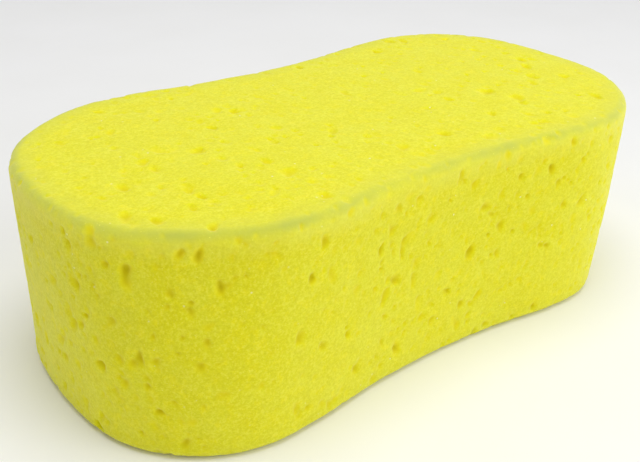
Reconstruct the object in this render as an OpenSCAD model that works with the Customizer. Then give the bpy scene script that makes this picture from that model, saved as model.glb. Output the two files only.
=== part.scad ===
// Cleaning sponge: one block of open-cell foam, cut to an hourglass outline.
// It stands on its flat lower face. X runs along its length, Y across it and Z up.
// The origin is at the middle of the lower face.
//
// A quarter of the outline is four arcs, each tangent to the next:
// a shallow arc across the end, a corner, a shoulder, and half of the waist's hollow.

/* [Block] */
// Length from end to end
length = 200; // [166:1:260]
// Width across the lobes, at their widest
width = 105; // [87:1:130]
// Height, from the flat lower face to the flat top
height = 65; // [25:1:120]

/* [Outline] */
// How far each long side curves in at the waist
waist_in = 5; // [2:0.5:6]
// Radius of the shallow arc across each end
end_r = 130; // [105:1:200]
// Radius of the four corners
corner_r = 41; // [30:1:42]
// Radius of the arc that leads from each lobe into the waist
shoulder_r = 112; // [60:1:135]

/* [Edges] */
// Radius of the soft rounding along the upper and lower edges
edge_r = 3; // [1:0.5:12]

/* [Hidden] */
foam_yellow = [0.90, 0.88, 0.22];

// Steps in each quarter's arcs, and in the rounding of an edge
end_steps = 3;
corner_steps = 14;
shoulder_steps = 3;
waist_steps = 6;
edge_steps = 5;

// Each corner's arc ends at the block's full width, and it touches the end's arc from inside.
end_x = length / 2 - end_r;
corner_y = width / 2 - corner_r;
corner_x = end_x + sqrt(pow(end_r - corner_r, 2) - pow(corner_y, 2));

// Each shoulder starts at the full width, where the corner ends.
shoulder_y = width / 2 - shoulder_r;

// The waist's hollow is centred outside the block and touches both shoulders of its side.
waist_r = (pow(corner_x, 2) + pow(waist_in, 2)) / (2 * waist_in) - shoulder_r;
waist_y = width / 2 - waist_in + waist_r;

// Angles that the end's arc and the waist's hollow span in a quarter
end_angle = atan2(corner_y, corner_x - end_x);
waist_angle = atan2(corner_x, waist_y - shoulder_y);

// Points along an arc, without its last point
function arc(centre, radius, from, to, steps) = [
    for (i = [0 : steps - 1])
        let (angle = from + (to - from) * i / steps)
            centre + radius * [cos(angle), sin(angle)]
];

// A quarter of the outline, set in from the walls, from the +X end up to the waist's middle
function quarter(inset) = concat(
    arc([end_x, 0], end_r - inset, 0, end_angle, end_steps),
    arc([corner_x, corner_y], corner_r - inset, end_angle, 90, corner_steps),
    arc([corner_x, shoulder_y], shoulder_r - inset, 90, 90 + waist_angle, shoulder_steps),
    arc([0, waist_y], waist_r + inset, 270 + waist_angle, 270, waist_steps),
    [[0, width / 2 - waist_in - inset]]
);

// The +Y half of the outline, as far as the -X end, which it leaves out
function half(inset) =
    let (points = quarter(inset))
        concat(points, [for (i = [len(points) - 2 : -1 : 1]) [-points[i][0], points[i][1]]]);

function outline(inset) =
    let (points = half(inset))
        concat(points, -points);

// Inset and height of each ring of points in the lower half, from the lower face to mid-height
rounding_rings = [
    for (i = [0 : edge_steps])
        let (angle = 90 * i / edge_steps)
            [edge_r * (1 - sin(angle)), edge_r * (1 - cos(angle))]
];
rings = concat(rounding_rings, [[0, height / 2]]);

ring_size = len(outline(0));
half_size = ring_size / 2;

// Four-sided strips across the block from +X to -X, with a triangle at each end
lower_face = concat(
    [[0, 1, ring_size - 1]],
    [for (i = [1 : half_size - 2]) [i, i + 1, ring_size - i - 1, ring_size - i]],
    [[half_size - 1, half_size, half_size + 1]]
);
first_middle_point = (len(rings) - 1) * ring_size;
middle_face = [
    for (strip = lower_face)
        [for (i = [len(strip) - 1 : -1 : 0]) strip[i] + first_middle_point]
];
wall_faces = [
    for (ring = [0 : len(rings) - 2], i = [0 : ring_size - 1])
        let (here = ring * ring_size + i, next = ring * ring_size + (i + 1) % ring_size)
            [here, here + ring_size, next + ring_size, next]
];

// The block up to mid-height
module lower_half() {
    points = [
        for (ring = rings, point = outline(ring[0]))
            [point[0], point[1], ring[1]]
    ];
    polyhedron(points = points, faces = concat(lower_face, wall_faces, middle_face), convexity = 4);
}

// The upper half is the lower half turned over. Both are one block of foam.
module sponge() {
    color(foam_yellow) union() {
        lower_half();
        translate([0, 0, height]) mirror([0, 0, 1]) lower_half();
    }
}

sponge();
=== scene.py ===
"""The looks of the cleaning sponge: one block of soft open-cell foam on a pale floor, in metres.

The foam's surface is found from a distance field: the hourglass block with its rounded edges and slight
unevenness, less the bubbles that its cut faces open as pores. The field is meshed on a fine grid and thinned
to the triangle budget. Each point of the mesh keeps how far it is in a pore, how deep it lies below the
block's surface and how far it is from the upper edge, and the material takes its colours from these.
"""

import math

import bpy
import numpy as np
from mathutils import Matrix, Vector


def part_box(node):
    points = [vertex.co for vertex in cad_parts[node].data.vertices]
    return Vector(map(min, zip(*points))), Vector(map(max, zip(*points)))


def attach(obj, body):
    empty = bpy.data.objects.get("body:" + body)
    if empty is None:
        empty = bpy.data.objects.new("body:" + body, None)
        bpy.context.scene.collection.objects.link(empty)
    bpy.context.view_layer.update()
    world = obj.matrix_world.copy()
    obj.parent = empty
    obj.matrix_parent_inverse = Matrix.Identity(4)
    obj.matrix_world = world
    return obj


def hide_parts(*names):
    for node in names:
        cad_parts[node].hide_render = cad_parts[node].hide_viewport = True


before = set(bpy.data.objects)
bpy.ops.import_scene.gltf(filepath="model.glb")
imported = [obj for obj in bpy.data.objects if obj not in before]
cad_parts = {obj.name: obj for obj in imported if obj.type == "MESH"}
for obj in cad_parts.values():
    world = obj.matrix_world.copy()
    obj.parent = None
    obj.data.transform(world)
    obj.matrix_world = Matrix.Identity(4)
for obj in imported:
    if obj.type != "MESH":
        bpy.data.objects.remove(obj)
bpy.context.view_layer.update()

MM = 0.001
CM = 0.01

# The block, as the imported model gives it, and the radii of its outline's arcs
LOW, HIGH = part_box("sponge")
LENGTH, WIDTH, HEIGHT = HIGH - LOW
END_R = 130 * MM
CORNER_R = 41 * MM
SHOULDER_R = 112 * MM
WAIST_IN = 5 * MM
EDGE_R = 3 * MM

# Where the soft block leans in or out a little, in mm: the place (x, y, z), the shift in x and y, the reach
LEANS = [
    ((-80, -45, 65), (2.7, 4.3), 26),
    ((-98, 10, 64), (-0.6, 0.4), 16),
    ((-75, 42, 65), (0.5, -1.5), 20),
    ((96, -14, 65), (1.2, -0.5), 16),
    ((98, -25, 0), (-3.0, 1.0), 35),
    ((89, -38, 0), (-2.2, 1.8), 15),
]

END_X = LENGTH / 2 - END_R
CORNER_Y = WIDTH / 2 - CORNER_R
CORNER_X = END_X + math.sqrt((END_R - CORNER_R) ** 2 - CORNER_Y**2)
SHOULDER_Y = WIDTH / 2 - SHOULDER_R
WAIST_R = (CORNER_X**2 + WAIST_IN**2) / (2 * WAIST_IN) - SHOULDER_R
WAIST_Y = WIDTH / 2 - WAIST_IN + WAIST_R
END_ANGLE = math.atan2(CORNER_Y, CORNER_X - END_X)
WAIST_ANGLE = math.atan2(CORNER_X, WAIST_Y - SHOULDER_Y)

# The grid that the foam is meshed on, and what is left of the mesh
GRID_STEP = 0.5 * MM
GRID_MARGIN = 2 * MM
TRIANGLE_BUDGET = 190_000

# How the block's outward direction and the nearest place on its surface are found, and what a bubble's
# distance is divided by at its centre, where it has no slope
SLOPE_STEP = 0.2 * MM
SURFACE_PASSES = 3
SMALLEST_SLOPE = 1e-9

# The unevenness of the cut faces: (distance from one lump to the next, height)
UNEVENNESS = [(26 * MM, 0.22 * MM), (7 * MM, 0.10 * MM), (1.7 * MM, 0.055 * MM)]

# The pores that stand out: a point on or near the surface, then the width and the height, in mm. Their places
# were read off the photo by eye, carried onto the block through the fitted camera by a script, and rounded
WALL_PORES = [
    (-93, -33, 55, 4.0, 3.5), (-93, -33, 52, 2.5, 5.0), (-99, -17, 47, 2.5, 4.0), (-93, -33, 29, 2.5, 3.5),
    (-92, -35, 31, 1.8, 3.8), (-89, -38, 31, 2.5, 2.5), (-80, -46, 30, 2.8, 3.0), (-76, -48, 21, 2.6, 2.1),
    (-89, -38, 15, 2.1, 2.1), (-83, -44, 13, 2.1, 2.1), (-80, -46, 60, 2.6, 3.6), (-84, -43, 60, 2.0, 2.4),
    (-96, -28, 40, 1.6, 2.6), (-79, -47, 41, 2.4, 2.0), (-99, -18, 35, 1.5, 3.0), (-86, -42, 50, 1.8, 2.0),
    (-9, -48, 22, 2.0, 5.5), (8, -48, 9, 2.2, 6.5), (-17, -48, 11, 3.0, 5.5), (11, -48, 34, 2.6, 3.8),
    (-23, -49, 31, 2.2, 4.0), (-44, -52, 46, 2.8, 3.8), (33, -50, 17, 2.6, 2.0), (-12, -48, 31, 1.8, 4.0),
    (22, -48, 62, 2.4, 3.0), (40, -51, 54, 2.5, 2.8), (28, -49, 54, 2.4, 2.1), (15, -48, 47, 3.6, 2.2),
    (55, -52, 39, 2.6, 2.6), (36, -50, 47, 3.1, 2.0), (-22, -49, 51, 1.8, 3.4), (40, -51, 28, 2.4, 2.4),
]
TOP_PORES = [
    (-62, 6, 65, 2.8, 3.5), (-69, 1, 65, 2.5, 3.5), (-53, -1, 65, 3.5, 3.0), (-68, -6, 65, 2.4, 3.5),
    (-80, -10, 65, 2.6, 3.0), (-67, -20, 65, 2.2, 3.5), (-87, -25, 65, 3.0, 4.0), (-82, -31, 65, 2.2, 2.5),
    (-40, -27, 65, 4.0, 4.0), (49, -14, 65, 4.5, 3.5), (53, -23, 65, 4.0, 3.0), (13, -31, 65, 3.0, 4.0),
    (23, -41, 65, 3.5, 3.0), (-41, -43, 65, 2.4, 3.0), (-4, -32, 65, 3.0, 3.0), (32, 0, 65, 3.3, 3.0),
]

# The pores between them: how many there are, and the radii of their bubbles
PORE_SEED = 7
PORES_PER_CM2 = 3.0
PORE_R_MIN = 0.4 * MM
PORE_R_MAX = 1.2 * MM
PORE_R_POWER = 3.0

# A bubble's depth as a share of its pore's smaller side, on the flat faces and on the wall, and how upright
# the outward direction is where a face counts as flat
PORE_DEPTH_ON_TOP = (0.22, 0.34)
PORE_DEPTH_ON_WALL = (0.42, 0.68)
FLAT_FROM = 0.7

# How far out a bubble's centre lies as a share of its depth, how much it is turned in the surface (the spread
# in radians), and how many times its width a scattered one is high
PORE_LIFT = 0.35
PORE_TURN = 0.3
PORE_STRETCH = (1.0, 1.7)

# The smaller bubbles run into each bubble of at least this radius: how many, then their size and how far off
# they are, as shares of its own size
CLUSTER_R = 0.8 * MM
SIDE_BUBBLES = 3
SIDE_SIZE = (0.35, 0.7)
SIDE_OFFSET = (0.6, 1.1)

# How near the surface a scattered pore's place has to be, how far pores lie apart, how their outlines wander,
# and how softly they run into the surface
NEAR_SURFACE = 1 * MM
PORE_GAP = 0.8 * MM
WARP_LENGTH = 2.0 * MM
WARP_HEIGHT = 0.50 * MM
LIP = 0.8 * MM

# How far in from the wall the upper edge seems to lie, how far the painted shade and paler painted light
# along it reach, and how wide the painted shadow line on the edge itself is
EDGE_IN = 0.8 * MM
EDGE_SHADING_REACH = 8.5 * MM
EDGE_SHADOW_WIDTH = 2.6 * MM

# How far round a pore its colour fades out, and the radius at which a pore has its full colour
PORE_FADE = 0.4 * MM
PORE_FULL_R = 1.1 * MM

# How deep in a pore its painted shade starts, and how much deeper it is full
DEEP_SHADE_START = 0.3 * MM
DEEP_SHADE_SPAN = 0.9 * MM


# ---------------------------------------------------------------- the block


def outline_distance(x, y):
    """Distance from the hourglass outline, negative inside it."""
    x, y = np.abs(x), np.abs(y)
    end = np.hypot(x - END_X, y) - END_R
    corner = np.hypot(x - CORNER_X, y - CORNER_Y) - CORNER_R
    shoulder = np.hypot(x - CORNER_X, y - SHOULDER_Y) - SHOULDER_R
    waist = WAIST_R - np.hypot(x, y - WAIST_Y)
    faces_end = np.arctan2(y, x - END_X) < END_ANGLE
    faces_corner = x > CORNER_X
    faces_shoulder = np.arctan2(x, WAIST_Y - y) > WAIST_ANGLE
    return np.select([faces_end, faces_corner, faces_shoulder], [end, corner, shoulder], waist)


def unleaned(x, y, z):
    """Where a place of the soft block would lie in x and y if it didn't lean anywhere."""
    for centre, shift, reach in LEANS:
        square = sum((place - c * MM) ** 2 for place, c in zip((x, y, z), centre))
        near = np.exp(-square / (reach * MM) ** 2)
        x, y = x - shift[0] * MM * near, y - shift[1] * MM * near
    return x, y


def block_distance(x, y, z):
    """Distance from the soft block with its rounded edges, negative inside it."""
    x, y = unleaned(x, y, z)
    beyond_wall = outline_distance(x, y) + EDGE_R
    beyond_face = np.abs(z - HEIGHT / 2) - HEIGHT / 2 + EDGE_R
    outside = np.hypot(np.maximum(beyond_wall, 0), np.maximum(beyond_face, 0))
    return outside + np.minimum(np.maximum(beyond_wall, beyond_face), 0) - EDGE_R


def block_normal(points):
    """Outward direction from the block at each point."""
    offsets = np.eye(3) * SLOPE_STEP
    slopes = [block_distance(*(points + o).T) - block_distance(*(points - o).T) for o in offsets]
    normal = np.stack(slopes, axis=1)
    return normal / np.linalg.norm(normal, axis=1, keepdims=True)


# ---------------------------------------------------------------- noise


def spline_weights(t):
    """Weights of the four lattice values round a place, t of the way from the second to the third."""
    return (
        (1 - t) ** 3 / 6,
        (3 * t**3 - 6 * t**2 + 4) / 6,
        (-3 * t**3 + 3 * t**2 + 3 * t + 1) / 6,
        t**3 / 6,
    )


def smooth_noise(axes, wavelength, rng):
    """Values on the grid of three axes that wander smoothly about 0, mostly between -1 and 1.

    They are a spline through a lattice of random values, four of which count at each place along an axis.
    """
    lattice_size = [int((a[-1] - a[0]) / wavelength) + 5 for a in axes]
    values = rng.standard_normal(lattice_size).astype(np.float32)
    for axis, places in enumerate(axes):
        along = (places - places[0]) / wavelength
        first = along.astype(int)
        shape = [1, 1, 1]
        shape[axis] = len(places)
        weights = [w.reshape(shape).astype(np.float32) for w in spline_weights(along - first)]
        values = sum(w * np.take(values, first + i, axis=axis) for i, w in enumerate(weights))
    return values / (2 * values.std())


# ---------------------------------------------------------------- pores


def smooth_max(a, b, width):
    """The larger of two fields, blended over a width where they meet."""
    overlap = np.maximum(width - np.abs(a - b), 0) / width
    return np.maximum(a, b) + overlap**2 * width / 4


def on_surface(point):
    """The point moved straight onto the block's surface, and the outward direction there."""
    for _ in range(SURFACE_PASSES):
        normal = block_normal(point[None])[0]
        point = point - normal * block_distance(*point)
    return point, normal


def bubble(point, width, height, rng):
    """A bubble that opens at a point as a pore of a width and a height: centre, radii, and axes as rows."""
    place, normal = on_surface(np.array(point))
    flat = abs(normal[2]) > FLAT_FROM
    up = Vector((0, 1, 0)) if flat else Vector((0, 0, 1))
    across = up.cross(Vector(normal)).normalized()
    up = Vector(normal).cross(across)
    turn = Matrix.Rotation(rng.normal(0, PORE_TURN), 3, Vector(normal))
    axes = np.array([turn @ across, turn @ up, Vector(normal)])
    depth = rng.uniform(*PORE_DEPTH_ON_TOP) if flat else rng.uniform(*PORE_DEPTH_ON_WALL)
    radii = np.array([width, height, 2 * depth * min(width, height)]) / 2
    radii /= math.sqrt(1 - PORE_LIFT**2)
    return place + normal * radii[2] * PORE_LIFT, radii, axes


def cluster(pore, rng):
    """The bubble, with smaller ones run into it if it is large, so that its pore has an uneven outline."""
    centre, radii, axes = pore
    bubbles = [pore]
    if radii[0] < CLUSTER_R:
        return bubbles
    for turn in rng.uniform(0, 2 * math.pi, SIDE_BUBBLES):
        size = rng.uniform(*SIDE_SIZE)
        beside = axes[0] * math.cos(turn) * radii[0] + axes[1] * math.sin(turn) * radii[1]
        bubbles.append((centre + beside * rng.uniform(*SIDE_OFFSET), radii * size, axes))
    return bubbles


def scattered_pores(rng):
    """The pores listed above, then others over the whole surface, the largest first, clear of each other."""
    pores = [bubble(Vector(p[:3]) * MM, p[3] * MM, p[4] * MM, rng) for p in WALL_PORES + TOP_PORES]
    placed = np.array([centre for centre, _, _ in pores])
    sizes = np.array([radii[:2].max() for _, radii, _ in pores])
    area_cm2 = 2 * (LENGTH * WIDTH + (LENGTH + WIDTH) * HEIGHT) / CM**2
    count = int(PORES_PER_CM2 * area_cm2)
    power = 1 - PORE_R_POWER
    low, high = PORE_R_MIN**power, PORE_R_MAX**power
    spread = np.sort((low + rng.random(count) * (high - low)) ** (1 / power))[::-1]
    half = np.array([LENGTH, WIDTH, HEIGHT]) / 2
    for radius in spread:
        clear = False
        while not clear:
            point = (rng.random(3) * 2 - 1) * half + [0, 0, HEIGHT / 2]
            if abs(block_distance(*point)) > NEAR_SURFACE:
                continue
            clear = (np.linalg.norm(placed - point, axis=1) > sizes + radius + PORE_GAP).all()
        stretch = rng.uniform(*PORE_STRETCH)
        pores.append(bubble(point, 2 * radius, 2 * radius * stretch, rng))
        placed = np.vstack([placed, point])
        sizes = np.append(sizes, radius)
    return pores


def cut_bubble(field, pore_field, grid, warp, pore):
    """Takes one bubble out of the field, in the part of the grid round it, and marks its inside as a pore."""
    centre, radii, axes = pore
    reach = radii.max() + LIP + WARP_HEIGHT * 2
    first = [int(np.searchsorted(g, c - reach)) for g, c in zip(grid, centre)]
    last = [int(np.searchsorted(g, c + reach)) for g, c in zip(grid, centre)]
    part = tuple(slice(a, b) for a, b in zip(first, last))
    places = np.stack(np.meshgrid(*(g[s] for g, s in zip(grid, part)), indexing="ij"), axis=-1)
    places = places + np.stack([w[part] for w in warp], axis=-1)
    local = (places - centre) @ axes.T
    out = np.linalg.norm(local / radii, axis=-1)
    slope = np.linalg.norm(local / radii**2, axis=-1)
    distance = out * (out - 1) / np.maximum(slope, SMALLEST_SLOPE)
    field[part] = smooth_max(field[part], -distance, LIP)
    inside = np.clip(1 - distance / PORE_FADE, 0, 1) * min(1, radii[0] / PORE_FULL_R)
    pore_field[part] = np.maximum(pore_field[part], inside)


# ---------------------------------------------------------------- mesh


def net_vertices(field, inside, grid):
    """The cells that the surface crosses, and for each the middle of where it crosses the cell's edges."""
    size = np.array(field.shape) - 1
    corners = [np.array([i, j, k]) for i in (0, 1) for j in (0, 1) for k in (0, 1)]
    count = sum(inside[tuple(slice(o, o + s) for o, s in zip(c, size))].astype(np.uint8) for c in corners)
    cells = np.argwhere((count > 0) & (count < len(corners)))
    value = {tuple(c): field[tuple((cells + c).T)] for c in corners}
    total, crossings = np.zeros(cells.shape), np.zeros(len(cells))
    for a in corners:
        for axis in range(3):
            if a[axis]:
                continue
            b = a + np.eye(3, dtype=int)[axis]
            va, vb = value[tuple(a)], value[tuple(b)]
            crossed = (va < 0) != (vb < 0)
            share = np.where(crossed, va / np.where(crossed, va - vb, 1), 0)
            total += np.where(crossed[:, None], a + share[:, None] * (b - a), 0)
            crossings += crossed
    origin = np.array([g[0] for g in grid])
    return cells, origin + (cells + total / crossings[:, None]) * GRID_STEP


def net_faces(inside, number):
    """A four-sided face, facing out, round each grid edge that the surface crosses, by the cells' numbers."""
    faces = []
    for axis in range(3):
        before = [slice(None)] * 3
        after = [slice(None)] * 3
        before[axis], after[axis] = slice(0, -1), slice(1, None)
        crossed = np.argwhere(inside[tuple(before)] != inside[tuple(after)])
        u, v = np.eye(3, dtype=int)[(axis + 1) % 3], np.eye(3, dtype=int)[(axis + 2) % 3]
        quad = np.stack([number[tuple((crossed - d).T)] for d in (u + v, v, 0 * u, u)], axis=1)
        leaves = inside[tuple(crossed.T)]
        faces.append(np.where(leaves[:, None], quad, quad[:, ::-1]))
    return np.concatenate(faces)


def net_mesh(field, grid):
    """The field's zero surface as a mesh of four-sided faces, with a vertex in each cell that it crosses."""
    inside = field < 0
    cells, vertices = net_vertices(field, inside, grid)
    number = np.full(np.array(field.shape) - 1, -1, np.int32)
    number[tuple(cells.T)] = np.arange(len(cells))
    mesh = bpy.data.meshes.new("foam_net")
    mesh.from_pydata(vertices, [], net_faces(inside, number))
    return mesh


def foam_fields():
    """The grid's axes, the field whose zero surface is the sponge's, and how far in a pore each place is."""
    rng = np.random.default_rng(PORE_SEED)
    grid = [np.arange(low - GRID_MARGIN, high + GRID_MARGIN, GRID_STEP) for low, high in zip(LOW, HIGH)]
    x, y, z = np.ix_(*grid)
    field = block_distance(x, y, z).astype(np.float32)
    for wavelength, height in UNEVENNESS:
        field += height * smooth_noise(grid, wavelength, rng)
    warp = [WARP_HEIGHT * smooth_noise(grid, WARP_LENGTH, rng) for _ in range(3)]
    pore_field = np.zeros_like(field)
    for pore in scattered_pores(rng):
        for part in cluster(pore, rng):
            cut_bubble(field, pore_field, grid, warp, part)
    above_floor = np.maximum(field, -z.astype(np.float32))
    return grid, above_floor, pore_field


def sampled(values, grid, points):
    """The grid's values at the points, evenly blended between the eight grid places round each."""
    steps = (points - [g[0] for g in grid]) / GRID_STEP
    first = steps.astype(int)
    share = steps - first
    total = np.zeros(len(points))
    for corner in np.ndindex(2, 2, 2):
        weight = np.where(corner, share, 1 - share).prod(axis=1)
        total += weight * values[tuple((first + corner).T)]
    return total


def thinned(mesh):
    """A copy of the mesh within the triangle budget, smooth-shaded."""
    net = bpy.data.objects.new("foam_net", mesh)
    bpy.context.scene.collection.objects.link(net)
    decimate = net.modifiers.new("thin", "DECIMATE")
    decimate.ratio = min(1.0, TRIANGLE_BUDGET / (2 * len(mesh.polygons)))
    decimate.use_collapse_triangulate = True
    depsgraph = bpy.context.evaluated_depsgraph_get()
    result = bpy.data.meshes.new_from_object(net.evaluated_get(depsgraph))
    bpy.data.objects.remove(net)
    result.shade_smooth()
    return result


def add_attribute(mesh, name, values):
    """Keeps a value at each of the mesh's points, for the material to read."""
    attribute = mesh.attributes.new(name, "FLOAT", "POINT")
    attribute.data.foreach_set("value", values.astype(np.float32))


def build_foam():
    """The sponge's one visible piece, with the values that its material reads."""
    grid, field, pore_field = foam_fields()
    mesh = thinned(net_mesh(field, grid))
    points = np.zeros(len(mesh.vertices) * 3, np.float32)
    mesh.vertices.foreach_get("co", points)
    points = points.reshape(-1, 3).astype(float)
    x, y, z = points.T
    add_attribute(mesh, "pore", sampled(pore_field, grid, points))
    add_attribute(mesh, "deep", np.clip((-block_distance(x, y, z) - DEEP_SHADE_START) / DEEP_SHADE_SPAN, 0, 1))
    wall_distance = outline_distance(*unleaned(x, y, z))
    add_attribute(mesh, "from_edge", np.hypot(wall_distance + EDGE_IN, HEIGHT - z))
    sponge = bpy.data.objects.new("foam_block", mesh)
    bpy.context.scene.collection.objects.link(sponge)
    return sponge


# ---------------------------------------------------------------- materials


def new_material(name):
    material = bpy.data.materials.new(name)
    material.use_nodes = True
    tree = material.node_tree
    return material, tree, tree.nodes["Principled BSDF"]


def add_node(tree, kind, settings=None, **inputs):
    """A node with its settings, and with inputs set to a value or linked to an output."""
    node = tree.nodes.new(kind)
    for name, value in (settings or {}).items():
        setattr(node, name, value)
    for name, value in inputs.items():
        socket = node.inputs[name.replace("_", " ")]
        if isinstance(value, bpy.types.NodeSocket):
            tree.links.new(value, socket)
        else:
            socket.default_value = value
    return node


def mix_colour(tree, factor, a, b):
    """The colour a factor of the way from a to b."""
    node = tree.nodes.new("ShaderNodeMix")
    node.data_type = "RGBA"
    for socket, value in ((node.inputs[0], factor), (node.inputs[6], a), (node.inputs[7], b)):
        if isinstance(value, bpy.types.NodeSocket):
            tree.links.new(value, socket)
        else:
            socket.default_value = value
    return node.outputs[2]


def ramp(tree, value, low, high, to_low=0.0, to_high=1.0):
    """The value taken from the range low to high into the range to_low to to_high, and kept within it."""
    node = add_node(tree, "ShaderNodeMapRange", Value=value)
    node.inputs["From Min"].default_value = low
    node.inputs["From Max"].default_value = high
    node.inputs["To Min"].default_value = to_low
    node.inputs["To Max"].default_value = to_high
    return node.outputs["Result"]


def product(tree, a, b):
    node = add_node(tree, "ShaderNodeMath", {"operation": "MULTIPLY"})
    tree.links.new(a, node.inputs[0])
    tree.links.new(b, node.inputs[1])
    return node.outputs[0]


def noise(tree, place, size, detail):
    """Noise whose lumps are about size across."""
    node = add_node(tree, "ShaderNodeTexNoise", Vector=place, Scale=1 / size, Detail=detail, Roughness=0.5)
    return node.outputs["Fac"]


def point_value(tree, name):
    """A value that the mesh keeps at each of its points."""
    return add_node(tree, "ShaderNodeAttribute", {"attribute_name": name}).outputs["Fac"]


# The foam itself, whose tone wanders between two colours: (size, low and high end of the noise that counts)
FOAM_COLOUR = (0.80, 0.76, 0.006, 1)
FOAM_PALE = (0.81, 0.79, 0.025, 1)
CLOUD_SIZE = 9 * MM
SOFT_RANGE = (0.35, 0.65)

# Pores just under the skin, which show as brighter blotches: (size, share)
BLOTCHES = [(2.6 * MM, 0.55), (4.2 * MM, 0.35)]
BLOTCH_RANGE = (0.58, 0.72)

# The fine cells that the cut opened: (size, share of dark, share of light)
GRAIN = [(0.45 * MM, 0.26, 0.34), (0.85 * MM, 0.22, 0.36), (1.9 * MM, 0.08, 0.12)]
GRAIN_DARK = (0.62, 0.58, 0.005, 1)
GRAIN_DARK_RANGE = (0.5, 0.3)
GRAIN_LIGHT = (0.95, 0.92, 0.11, 1)
GRAIN_LIGHT_RANGE = (0.53, 0.7)

# Painted shade on the top and paler, greyer painted light on the wall along the upper edge, a painted shadow
# line on the edge, and the patches in which both show more or less
TOP_EDGE_SHADE_COLOUR = (0.66, 0.67, 0.07, 1)
WALL_EDGE_LIGHT_COLOUR = (0.77, 0.77, 0.13, 1)
EDGE_SHADING_TURN = 4 * MM
EDGE_SHADING_FULL = 1 * MM
# The painted shadow on the edge itself
EDGE_SHADOW_COLOUR = (0.50, 0.545, 0.10, 1)
EDGE_SHADOW_FULL = 0.6 * MM
PATCH_SIZE = 11 * MM
PATCH_SHARE = (0.4, 0.8)

# The insides of the pores: a more saturated yellow, partly the pores' own deeper yellow and partly painted
# light bouncing inside them, and painted shade deeper in
PORE_TINT_AND_GLOW_COLOUR = (0.90, 0.83, 0.003, 1)
PORE_SHARE = 0.9
# Painted shade deep in the pores
DEEP_SHADE_COLOUR = (0.74, 0.665, 0.0005, 1)

# Painted glints, where bits of cell skin would catch the light: (distance apart, radius, share of them that
# shows, colour)
GLINTS = [
    (1.1 * MM, 0.16 * MM, 0.45, (0.95, 0.92, 0.16, 1)),
    (2.4 * MM, 0.34 * MM, 0.10, (1.0, 0.98, 0.55, 1)),
]
# How much of a painted glint's radius is at full strength
GLINT_CORE = 0.6

# The finest cells, as bump
CELL_SIZE = 0.7 * MM
CELL_DEPTH = 0.12 * MM
CELL_STRENGTH = 0.5


def cut_foam_colour(tree, place):
    """The colour of the plain cut foam: its clouds, blotches and grain."""
    clouds = ramp(tree, noise(tree, place, CLOUD_SIZE, 3), *SOFT_RANGE)
    colour = mix_colour(tree, clouds, FOAM_COLOUR, FOAM_PALE)
    for size, share in BLOTCHES:
        blotch = ramp(tree, noise(tree, place, size, 1), *BLOTCH_RANGE, 0, share)
        colour = mix_colour(tree, blotch, colour, PORE_TINT_AND_GLOW_COLOUR)
    for size, dark, light in GRAIN:
        grain = noise(tree, place, size, 1)
        colour = mix_colour(tree, ramp(tree, grain, *GRAIN_DARK_RANGE, 0, dark), colour, GRAIN_DARK)
        colour = mix_colour(tree, ramp(tree, grain, *GRAIN_LIGHT_RANGE, 0, light), colour, GRAIN_LIGHT)
    return colour


def with_edge_shading(tree, place, colour):
    """The colour, with painted shade on the top and paler painted light on the wall along the upper edge, and
    a painted shadow on the edge itself.
    """
    from_edge = point_value(tree, "from_edge")
    height = add_node(tree, "ShaderNodeSeparateXYZ", Vector=place).outputs["Z"]
    on_top = ramp(tree, height, HEIGHT - EDGE_SHADING_TURN, HEIGHT)
    edge_shading_colour = mix_colour(tree, on_top, WALL_EDGE_LIGHT_COLOUR, TOP_EDGE_SHADE_COLOUR)
    patches = ramp(tree, noise(tree, place, PATCH_SIZE, 2), *SOFT_RANGE, *PATCH_SHARE)
    edge_shading = product(tree, ramp(tree, from_edge, EDGE_SHADING_REACH, EDGE_SHADING_FULL), patches)
    colour = mix_colour(tree, edge_shading, colour, edge_shading_colour)
    line = product(tree, ramp(tree, from_edge, EDGE_SHADOW_WIDTH, EDGE_SHADOW_FULL), patches)
    return mix_colour(tree, line, colour, EDGE_SHADOW_COLOUR)


def with_glints(tree, place, colour):
    """The colour, with painted glints on bits of the cells, of different strengths."""
    for spacing, radius, shown, glint_colour in GLINTS:
        glint_cells = add_node(tree, "ShaderNodeTexVoronoi", Vector=place, Scale=1 / spacing)
        chance = add_node(tree, "ShaderNodeSeparateColor", Color=glint_cells.outputs["Color"]).outputs[0]
        dot = ramp(tree, glint_cells.outputs["Distance"], radius / spacing, GLINT_CORE * radius / spacing)
        seen = product(tree, dot, ramp(tree, chance, 1 - shown, 1))
        colour = mix_colour(tree, seen, colour, glint_colour)
    return colour


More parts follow.
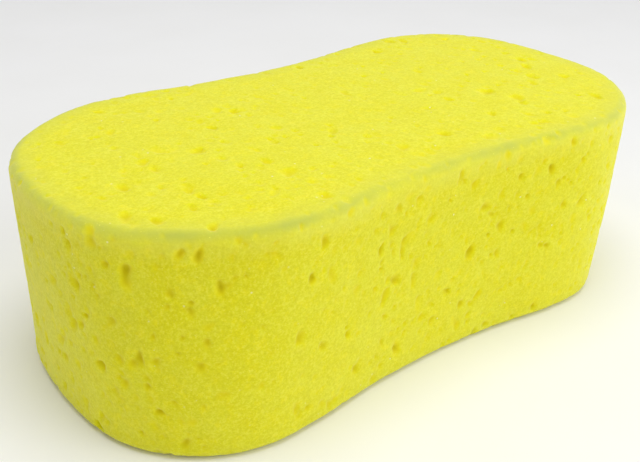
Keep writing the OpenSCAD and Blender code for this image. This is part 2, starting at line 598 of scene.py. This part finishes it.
def foam_material():
    material, tree, shader = new_material("foam")
    place = add_node(tree, "ShaderNodeTexCoord").outputs["Object"]
    # The upper edge gets its painted shade, paler painted light and painted shadow here
    colour = with_edge_shading(tree, place, cut_foam_colour(tree, place))
    # Pores take a more saturated yellow, partly painted bounce light
    colour = mix_colour(tree, ramp(tree, point_value(tree, "pore"), 0, 1, 0, PORE_SHARE), colour, PORE_TINT_AND_GLOW_COLOUR)
    # Painted shade, darker the deeper a place lies below the block's surface
    colour = mix_colour(tree, point_value(tree, "deep"), colour, DEEP_SHADE_COLOUR)
    # Painted glints go on last
    tree.links.new(with_glints(tree, place, colour), shader.inputs["Base Color"])

    cells = add_node(tree, "ShaderNodeTexVoronoi", Vector=place, Scale=1 / CELL_SIZE)
    bump = add_node(tree, "ShaderNodeBump", Height=cells.outputs["Distance"])
    bump.inputs["Strength"].default_value = CELL_STRENGTH
    bump.inputs["Distance"].default_value = CELL_DEPTH
    tree.links.new(bump.outputs[0], shader.inputs["Normal"])

    shader.inputs["Roughness"].default_value = 0.85
    shader.inputs["Specular IOR Level"].default_value = 0.15
    shader.inputs["Subsurface Weight"].default_value = 0.9
    shader.inputs["Subsurface Radius"].default_value = (1.0, 0.9, 0.2)
    shader.inputs["Subsurface Scale"].default_value = 8 * MM
    shader.inputs["Sheen Weight"].default_value = 0.18
    shader.inputs["Sheen Roughness"].default_value = 0.5
    return material


FLOOR_HALF = 4.0
FLOOR_COLOURS = (0.93, 0.93, 0.925, 1), (0.95, 0.95, 0.95, 1)
FLOOR_TONE_SIZE = 60 * MM


def floor_material():
    material, tree, shader = new_material("floor_paint")
    place = add_node(tree, "ShaderNodeTexCoord").outputs["Object"]
    tone = ramp(tree, noise(tree, place, FLOOR_TONE_SIZE, 4), 0.3, 0.7)
    tree.links.new(mix_colour(tree, tone, *FLOOR_COLOURS), shader.inputs["Base Color"])
    shader.inputs["Roughness"].default_value = 0.7
    shader.inputs["Specular IOR Level"].default_value = 0.2
    return material


# ---------------------------------------------------------------- surroundings

CAMERA_TARGET = Vector((-13.8, -6.93, 30)) * MM
CAMERA_AZIMUTH = math.radians(-38.16)
CAMERA_ELEVATION = math.radians(28.76)
CAMERA_ROLL = math.radians(1.33)
CAMERA_DISTANCE = 288.25 * MM
CAMERA_LENS_MM = 51.57
CAMERA_CLIP = 10 * MM

# The lights: (name, azimuth and elevation in degrees, distance, size, power in watts)
LIGHTS = [
    ("top", 0, 88, 1.2, 0.9, 7.15),
    ("front", 18, 35, 1.2, 0.9, 2.22),
    ("right", 35, 25, 0.5, 0.3, 0.27),
]
WORLD_STRENGTH = 0.435


def away(azimuth, elevation):
    """Direction from the sponge, as seen at an azimuth, where 0 looks along +Y, and an elevation."""
    level = math.cos(elevation)
    return Vector((math.sin(azimuth) * level, -math.cos(azimuth) * level, math.sin(elevation)))


def add_camera():
    camera = bpy.data.objects.new("camera", bpy.data.cameras.new("camera"))
    camera.data.lens = CAMERA_LENS_MM
    camera.data.clip_start = CAMERA_CLIP
    back = away(CAMERA_AZIMUTH, CAMERA_ELEVATION)
    camera.location = CAMERA_TARGET + back * CAMERA_DISTANCE
    turned = back.to_track_quat("Z", "Y") @ Matrix.Rotation(CAMERA_ROLL, 3, "Z").to_quaternion()
    camera.rotation_mode = "QUATERNION"
    camera.rotation_quaternion = turned
    bpy.context.scene.collection.objects.link(camera)
    bpy.context.scene.camera = camera


def add_light(name, azimuth, elevation, distance, size, power):
    light = bpy.data.lights.new(name, "AREA")
    light.shape = "DISK"
    light.size = size
    light.energy = power
    lamp = bpy.data.objects.new(name, light)
    direction = away(math.radians(azimuth), math.radians(elevation))
    lamp.location = direction * distance
    lamp.rotation_mode = "QUATERNION"
    lamp.rotation_quaternion = direction.to_track_quat("Z", "Y")
    bpy.context.scene.collection.objects.link(lamp)


def add_floor():
    corners = [(x * FLOOR_HALF, y * FLOOR_HALF, 0) for x, y in ((-1, -1), (1, -1), (1, 1), (-1, 1))]
    mesh = bpy.data.meshes.new("floor")
    mesh.from_pydata(corners, [], [(0, 1, 2, 3)])
    mesh.materials.append(floor_material())
    floor = bpy.data.objects.new("floor", mesh)
    bpy.context.scene.collection.objects.link(floor)


def add_world():
    world = bpy.data.worlds.new("studio")
    world.use_nodes = True
    background = world.node_tree.nodes["Background"]
    background.inputs["Color"].default_value = (1, 1, 1, 1)
    background.inputs["Strength"].default_value = WORLD_STRENGTH
    bpy.context.scene.world = world


add_camera()
add_world()
for light in LIGHTS:
    add_light(*light)
add_floor()
bpy.context.scene.view_settings.view_transform = "Standard"

foam = build_foam()
foam.data.materials.append(foam_material())
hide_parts("sponge")
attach(foam, "root")
